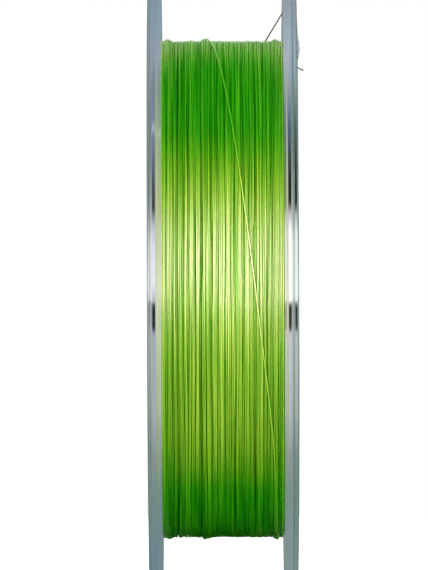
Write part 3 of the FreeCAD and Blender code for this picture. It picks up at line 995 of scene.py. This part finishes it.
# What glossy surfaces mirror: a lit panel in front, a dark room above it and a pale table below.
# Bands are degrees up from level in front, over the top, and colour.
room = {
    "leftBands": (
        (-180, (0.18, 0.27, 0.28)), (-110, (0.18, 0.27, 0.28)), (-87, (0.20, 0.28, 0.27)),
        (-68, (0.28, 0.33, 0.35)), (-50, (0.42, 0.45, 0.50)), (-34, (0.40, 0.44, 0.51)),
        (-21, (0.41, 0.44, 0.55)), (-17, (0.40, 0.43, 0.52)), (-15, (0.03, 0.033, 0.04)),
        (-6, (0.02, 0.025, 0.03)), (-4.3, (0.55, 0.55, 0.62)), (3, (0.95, 0.95, 1.0)),
        (15, (0.85, 0.85, 0.95)), (24, (0.60, 0.60, 0.70)), (31, (0.06, 0.065, 0.08)),
        (40, (0.085, 0.085, 0.11)), (54, (0.18, 0.20, 0.28)), (62, (0.24, 0.27, 0.36)),
        (65, (0.50, 0.53, 0.60)), (68, (0.23, 0.26, 0.34)), (86, (0.22, 0.27, 0.32)),
        (103, (0.33, 0.38, 0.46)), (134, (0.26, 0.35, 0.42)), (180, (0.24, 0.32, 0.36)),
    ),
    "rightBands": (
        (-180, (0.22, 0.30, 0.29)), (-110, (0.24, 0.31, 0.31)), (-87, (0.22, 0.29, 0.27)),
        (-68, (0.27, 0.32, 0.32)), (-50, (0.47, 0.51, 0.57)), (-34, (0.56, 0.57, 0.66)),
        (-21, (0.62, 0.63, 0.70)), (-17, (0.60, 0.60, 0.66)), (-15, (0.05, 0.05, 0.055)),
        (-6, (0.02, 0.02, 0.022)), (-4.3, (1.12, 1.12, 1.12)), (22, (1.12, 1.12, 1.12)),
        (29, (0.55, 0.56, 0.58)), (33, (0.02, 0.02, 0.025)), (43, (0.02, 0.02, 0.025)),
        (54, (0.06, 0.075, 0.095)), (67, (0.115, 0.15, 0.20)), (86, (0.32, 0.38, 0.44)),
        (103, (0.42, 0.48, 0.60)), (116, (0.37, 0.45, 0.53)), (134, (0.33, 0.39, 0.46)),
        (180, (0.26, 0.33, 0.36)),
    ),
    "sideBands": (
        (-180, (0.22, 0.30, 0.29)), (-110, (0.20, 0.28, 0.27)), (-87, (0.21, 0.29, 0.26)),
        (-68, (0.25, 0.33, 0.28)), (-50, (0.37, 0.43, 0.40)), (-34, (0.43, 0.47, 0.46)),
        (-17, (0.46, 0.50, 0.47)), (-14, (0.40, 0.43, 0.41)), (-6, (0.40, 0.43, 0.41)),
        (-4.3, (0.86, 0.87, 0.86)), (20, (0.86, 0.87, 0.86)), (30, (0.52, 0.55, 0.54)),
        (40, (0.36, 0.41, 0.39)), (54, (0.25, 0.32, 0.28)), (67, (0.18, 0.26, 0.22)),
        (86, (0.23, 0.31, 0.28)), (103, (0.27, 0.35, 0.35)), (180, (0.26, 0.33, 0.34)),
    ),
    "inwardBands": (
        (-180, (0.20, 0.28, 0.16)), (-90, (0.20, 0.32, 0.15)), (-60, (0.36, 0.46, 0.26)),
        (-30, (0.52, 0.60, 0.36)), (0, (0.74, 0.80, 0.54)), (35, (0.54, 0.64, 0.32)),
        (76, (0.36, 0.50, 0.26)), (97, (0.36, 0.49, 0.27)), (180, (0.30, 0.42, 0.24)),
    ),
    "lineBands": (
        (-180, (0.0, 0.0, 0.0)), (-106, (0.0, 0.0, 0.0)), (-99, (0.055, 0.055, 0.012)),
        (-90, (0.12, 0.12, 0.03)), (-77, (0.21, 0.21, 0.070)), (-62, (0.28, 0.28, 0.12)),
        (-47, (0.30, 0.30, 0.13)), (-32, (0.38, 0.38, 0.20)), (-23, (0.50, 0.50, 0.33)),
        (-12, (0.70, 0.70, 0.72)), (-5, (0.90, 0.90, 1.35)), (6, (1.0, 1.0, 1.65)),
        (18, (0.97, 0.97, 1.60)), (29, (0.76, 0.76, 1.00)), (41, (0.50, 0.50, 0.34)),
        (53, (0.27, 0.27, 0.084)), (66, (0.09, 0.09, 0.015)), (78, (0.0, 0.0, 0.0)),
        (124, (0.0, 0.0, 0.0)), (135, (0.015, 0.02, 0.012)), (146, (0.07, 0.09, 0.06)),
        (180, (0.10, 0.13, 0.09)),
    ),
    "lineSideBands": (
        (-180, (0.0, 0.0, 0.0)), (-92, (0.0, 0.0, 0.0)), (-60, (0.01, 0.05, 0.002)),
        (0, (0.10, 0.20, 0.03)), (58, (0.01, 0.04, 0.002)), (75, (0.0, 0.0, 0.0)),
        (180, (0.01, 0.014, 0.01)),
    ),
    # shares of the radius between which the side bands take over
    "plasticSides": (0.28, 0.48), "lineSides": (0.50, 1.0),
    "leftRadius": 3000.0, "rightRadius": 3150.0, "lineRadius": 3300.0,
    "subdivisions": 5, "inwardEdge": 1000.0, "lineLevel": 7.1, "lineAgain": 0.12,
}


def bandRamp(nodes, value, name):
    return colourRamp(nodes, value, [(angle / 360 + 0.5, colour) for angle, colour in room[name]])


# again is how much of the level is left for light that has bounced once more
def makeRoomMaterial(name, reach, bands, sideBands, level, again, inward):
    material, nodes = newMaterial(name)
    path = addNode(nodes, "ShaderNodeLightPath").outputs
    place = addNode(nodes, "ShaderNodeSeparateXYZ", {0: ownPlace(nodes)}).outputs
    angle = mathNode(nodes, "ARCTAN2", place["Z"], mathNode(nodes, "MULTIPLY", place["Y"], -1.0))
    band = rangeNode(nodes, angle, -math.pi, math.pi)
    side = bandRamp(nodes, band, sideBands)
    if inward:
        # the side towards the winding is lit by the line
        towards = mathNode(nodes, "MULTIPLY", place["X"], inward * room["inwardEdge"], clamp=True)
        side = mixColours(nodes, towards, side, bandRamp(nodes, band, "inwardBands"))
    aside = rangeNode(nodes, mathNode(nodes, "ABSOLUTE", place["X"]), *reach, easing="SMOOTHSTEP")
    colour = mixColours(nodes, aside, bandRamp(nodes, band, bands), side)
    strength = rangeNode(nodes, depthNode(nodes, path), 1.0, 2.0, level, level * again)
    glow = addNode(nodes, "ShaderNodeEmission", {"Color": colour, "Strength": strength}).outputs[0]
    beyond = addNode(nodes, "ShaderNodeBsdfTransparent").outputs[0]
    both = addNode(nodes, "ShaderNodeAddShader", {0: glow, 1: beyond}).outputs[0]
    addNode(nodes, "ShaderNodeOutputMaterial", {"Surface": both})
    material.cycles.emission_sampling = "NONE"
    return material


def mirroredRoom(name, radius, sides, receivers, bands, sideBands, level=1.0, again=1.0, inward=0.0):
    build = bmesh.new()
    bmesh.ops.create_icosphere(build, subdivisions=room["subdivisions"], radius=radius * mm)
    shell = newObject(name, meshFrom(build, name, turnOut=False))
    reach = [share * radius * mm for share in room[sides]]
    shell.data.materials.append(makeRoomMaterial(name, reach, bands, sideBands, level, again, inward))
    shell.visible_camera = False
    shell.visible_diffuse = False
    shell.visible_transmission = False
    shell.visible_shadow = False
    collection = bpy.data.collections.new(name + "Receivers")
    for piece in receivers:
        collection.objects.link(piece)
    shell.light_linking.receiver_collection = collection


mirroredRoom(
    "roomForLeft", room["leftRadius"], "plasticSides", (clearLeft,), "leftBands", "sideBands", inward=1.0,
)
mirroredRoom(
    "roomForRight", room["rightRadius"], "plasticSides", (clearRight, tapePiece), "rightBands", "sideBands",
    inward=-1.0,
)
mirroredRoom(
    "roomForLine", room["lineRadius"], "lineSides",
    (topLayer, underLayer, firstLayer, core, crossingTurn, lineTail),
    "lineBands", "lineSideBands", room["lineLevel"], room["lineAgain"],
)
bpy.context.scene.view_settings.view_transform = "Standard"
print("studio made")
